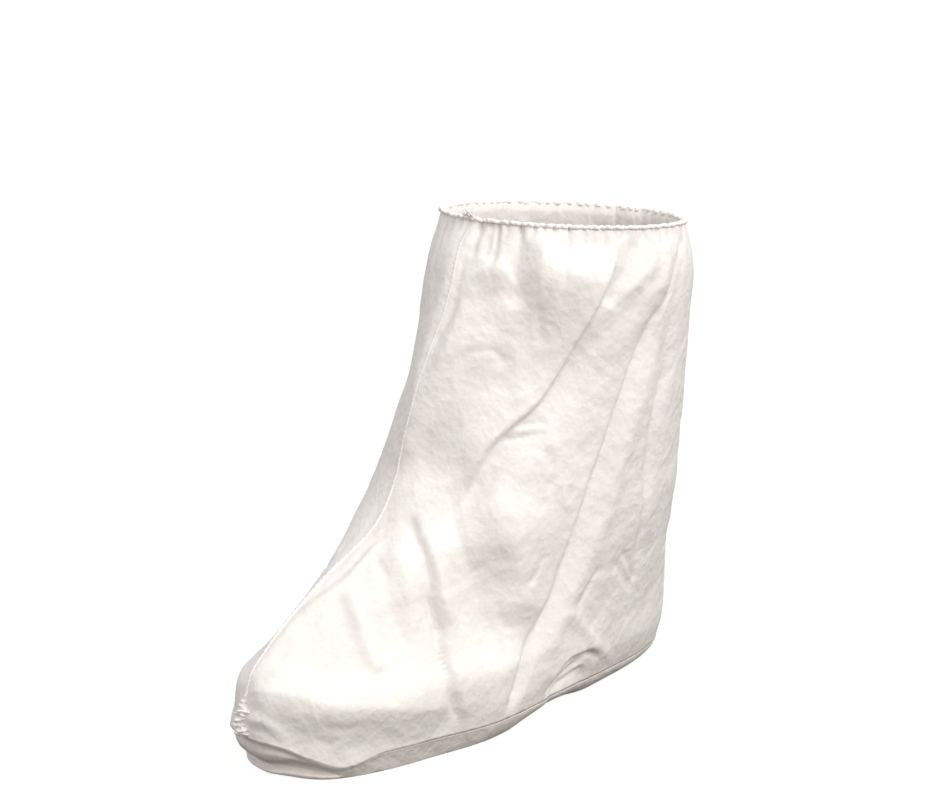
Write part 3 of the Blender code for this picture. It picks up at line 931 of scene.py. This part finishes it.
# rolled hem with the elastic in it
hemShape = {
    "rings": 1680,
    "sides": 10,
    "radius": 0.00118,
    "lift": 0.0007,
    "lumps": 124,
    "lumpSize": (0.80, 0.34),     # least, and what a lump adds
    "twist": 1.3,
    # how much, and the waves to one round
    "wanderUp": (0.00028, (61, 83, 97, 118)),
    "wanderOut": (0.00022, (47, 71, 90, 131)),
    "drift": (0.8, (9, 17, 31)),
    "uneven": (0.08, (23, 37, 53)),
    "seed": 3,
}


def ringNoise(draw, count, amount, waves):
    t = np.linspace(0, 2 * math.pi, count, endpoint=False)
    value = np.zeros(count)
    for k in waves:
        value += np.sin(k * t + draw.uniform(0, 2 * math.pi)) * draw.uniform(0.5, 1.0)
    return (amount * (value / math.sqrt(len(waves))))[:, None]


def tubeGrid(path, sideWays, upWays, radius, sides):
    angle = np.linspace(0, 2 * math.pi, sides, endpoint=False)
    radius = np.broadcast_to(radius, (len(path), sides))
    return (path[:, None] + sideWays[:, None] * (np.cos(angle) * radius)[:, :, None]
            + upWays[:, None] * (np.sin(angle) * radius)[:, :, None])


def makeHem(s):
    draw = np.random.default_rng(s["seed"])
    count, sides = s["rings"], s["sides"]
    edge = upperGrid[-1]
    turn = np.arange(count) / count * len(edge)
    i = turn.astype(int)
    on = (turn - i)[:, None]
    path = edge[i] * (1 - on) + edge[(i + 1) % len(edge)] * on
    path = path + np.array([0, 0, s["lift"]])
    tangent = unit(np.roll(path, -2, axis=0) - np.roll(path, 2, axis=0))
    outward = unit(np.cross(tangent, np.array([0.0, 0.0, 1.0])))
    up = unit(np.cross(outward, tangent))
    path = path + up * ringNoise(draw, count, *s["wanderUp"])
    path = path + outward * ringNoise(draw, count, *s["wanderOut"])
    angle = np.linspace(0, 2 * math.pi, sides, endpoint=False)
    run = np.arange(count) / count * 2 * math.pi
    lump = run[:, None] * s["lumps"] + s["twist"] * np.sin(angle) + ringNoise(draw, count, *s["drift"])
    least, more = s["lumpSize"]
    size = s["radius"] * (least + more * np.abs(np.cos(lump / 2)))
    size = size * (1 + ringNoise(draw, count, *s["uneven"]))
    faces = bandFaces(count, sides, flip=True)
    last = (count - 1) * sides
    faces += [(last + (c + 1) % sides, last + c, c, (c + 1) % sides) for c in range(sides)]
    return tubeGrid(path, outward, up, size, sides), faces


hemPoints, hemFaces = makeHem(hemShape)
hem = meshFrom("cover_hem", hemPoints, hemFaces, hemFinish)
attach(hem, "root")
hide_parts("collar_elastic")
print("hem rolled")


# front seam: a low puckered ridge with overlock thread, a ruffle at the toe and loose ends at the collar
seamShape = {
    "steps": 760,
    "sides": 14,
    "seed": 12,
    # height, half width and how proud, in millimetres
    "sizes": ((12, 0.9, 0.6), (48, 0.8, 0.6), (88, 1.0, 1.6),
              (125, 0.8, 0.8), (165, 0.5, 0.35), (274, 0.5, 0.30)),
    "pucker": {"length": 0.0033, "proud": 0.12, "width": 0.10, "uneven": 0.10, "sway": 0.00015,
               "slowSteps": 90},
    "ruffle": {
        "heights": (30, 48),
        "proud": 0.0026,
        "halfWidth": 0.0026,
        "sway": 0.0012,
        "swayLength": 0.0105,
        "lumps": 0.22,
        "lumpWaves": ((0.0047, 2), (0.0031, -3), (0.0062, 4), (0.0024, 1)),     # length, and turns round
    },
    "stitch": {
        "length": 0.0026,
        "slant": 0.55,
        "radius": 0.00011,
        "wide": 1.12,
        "proud": 0.00010,
        "over": (-0.08, 1.08),      # from side to side over the ridge, in half turns
        "mostRuffle": 0.3,
    },
    "threadSides": 5,
    "looseEnds": {
        "count": 9,
        "lift": 0.0022,
        "length": (0.0022, 0.0040),
        "radius": (0.00035, 0.00065),
        "apart": 0.0035,
        "proud": (0.0004, 0.0014),
        "rise": 0.6,
        "outward": 0.7,
        "fan": 0.55,
        "curl": 0.45,
    },
    # height in millimetres, and share round
    "path": ((12.4, 0.0), (25, 0.0), (42, 0.0), (55, -0.003), (68, -0.008), (82, -0.013), (92, -0.014),
             (101, -0.010), (110, -0.005), (120, -0.003), (135, -0.004), (155, -0.003), (180, 0.002),
             (205, 0.006), (226, 0.010), (238, 0.011), (248, 0.009), (259, 0.005), (273.4, 0.003)),
}


def seamPath(s):
    table = np.array(s["path"])
    height = np.linspace(table[0, 0], table[-1, 0], s["steps"])
    around = smooth(table[:, 0], table[:, 1], height)
    path = placeOn(upperGrid, around, height / 1000)
    out = unit(placeOn(gridNormals(upperGrid), around, height / 1000))
    # even steps along the line
    run = np.concatenate([[0], np.cumsum(np.linalg.norm(np.diff(path, axis=0), axis=-1))])
    even = np.linspace(0, run[-1], s["steps"])
    path = np.stack([np.interp(even, run, path[:, k]) for k in range(3)], axis=-1)
    out = unit(np.stack([np.interp(even, run, out[:, k]) for k in range(3)], axis=-1))
    along = unit(np.gradient(path, axis=0))
    side = unit(np.cross(along, out))
    return path, out, side, even, np.interp(even, run, height)


def makeSeam(s):
    draw = np.random.default_rng(s["seed"])
    path, out, side, run, height = seamPath(s)
    p, r, sides = s["pucker"], s["ruffle"], s["sides"]
    wave = 2 * math.pi * run / p["length"]
    few = p["slowSteps"]
    slow = np.interp(run, np.linspace(0, run[-1], few), draw.normal(0, 1, few))
    ruffle = 1 - ease((height - r["heights"][0]) / (r["heights"][1] - r["heights"][0]))
    sizes = np.array(s["sizes"])
    proud = smooth(sizes[:, 0], sizes[:, 2] / 1000, height)
    proud = proud * (1 + p["proud"] * np.sin(wave + slow) + p["uneven"] * slow) + r["proud"] * ruffle
    half = smooth(sizes[:, 0], sizes[:, 1] / 1000, height)
    half = half * (1 + p["width"] * np.sin(wave * 0.5 + 1.0)) + r["halfWidth"] * ruffle
    sway = p["sway"] * slow + r["sway"] * ruffle * np.sin(2 * math.pi * run / r["swayLength"])
    centre = path + side * sway[:, None]
    angle = np.linspace(0, 2 * math.pi, sides, endpoint=False)
    # lumps of the bunched allowance at the toe
    lumps = sum(np.sin(run[:, None] * 2 * math.pi / length + turns * angle[None] + draw.uniform(0, 6.28))
                for length, turns in r["lumpWaves"])
    extra = 1 + r["lumps"] * lumps * ruffle[:, None]
    grid = (centre[:, None] + side[:, None] * (np.cos(angle)[None] * half[:, None] * extra)[:, :, None]
            + out[:, None] * (np.sin(angle)[None] * proud[:, None] * extra)[:, :, None])
    points, faces = [], []

    def addTube(tube):
        start, around = sum(map(len, points)), tube.shape[1]
        last = start + (len(tube) - 1) * around
        points.append(tube.reshape(-1, 3))
        faces.extend(bandFaces(len(tube), around, start=start, flip=True))
        faces.append(tuple(start + c for c in range(around)))
        faces.append(tuple(last + c for c in reversed(range(around))))

    def addStrand(line, radius):
        ahead = unit(np.gradient(line, axis=0))
        across = unit(np.cross(ahead, np.array([0.31, 0.52, 0.79])))     # a way that no strand runs
        addTube(tubeGrid(line, across, unit(np.cross(across, ahead)), radius, s["threadSides"]))

    addTube(grid)
    # overlock thread, one slanted strand for each stitch, up to the ruffle
    stitch = s["stitch"]
    a = np.linspace(*stitch["over"], 7) * math.pi
    for k in range(1, int(run[-1] / stitch["length"]) - 1):
        at = (k + stitch["slant"] * (a / math.pi - 0.5)) * stitch["length"]
        i = np.interp(at, run, np.arange(len(run))).astype(int)
        if ruffle[i].max() > stitch["mostRuffle"]:
            continue
        wide, tall = half[i] * stitch["wide"], proud[i] + stitch["proud"]
        addStrand(centre[i] + side[i] * (np.cos(a) * wide)[:, None] + out[i] * (np.sin(a) * tall)[:, None],
                  stitch["radius"])
    # loose ends at the collar
    e = s["looseEnds"]
    top, aim, across = path[-1] + np.array([0, 0, e["lift"]]), out[-1], side[-1]
    t = np.linspace(0, 1, 8)[:, None]
    for _ in range(e["count"]):
        bend = draw.normal(0, 1, 3)
        length = draw.uniform(*e["length"])
        way = unit(np.array([0, 0, 1.0]) * e["rise"] + aim * e["outward"] + across * draw.normal(0, e["fan"]))
        start = top + across * draw.uniform(-e["apart"], e["apart"]) + aim * draw.uniform(*e["proud"])
        line = start + way * length * t + unit(bend) * length * e["curl"] * t ** 2
        addStrand(line, draw.uniform(*e["radius"]))
    return np.concatenate(points), faces


seamPoints, seamFaces = makeSeam(seamShape)
seam = meshFrom("cover_seam", seamPoints, seamFaces, threadFinish)
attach(seam, "root")
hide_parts("front_seam")
print("seam sewn")
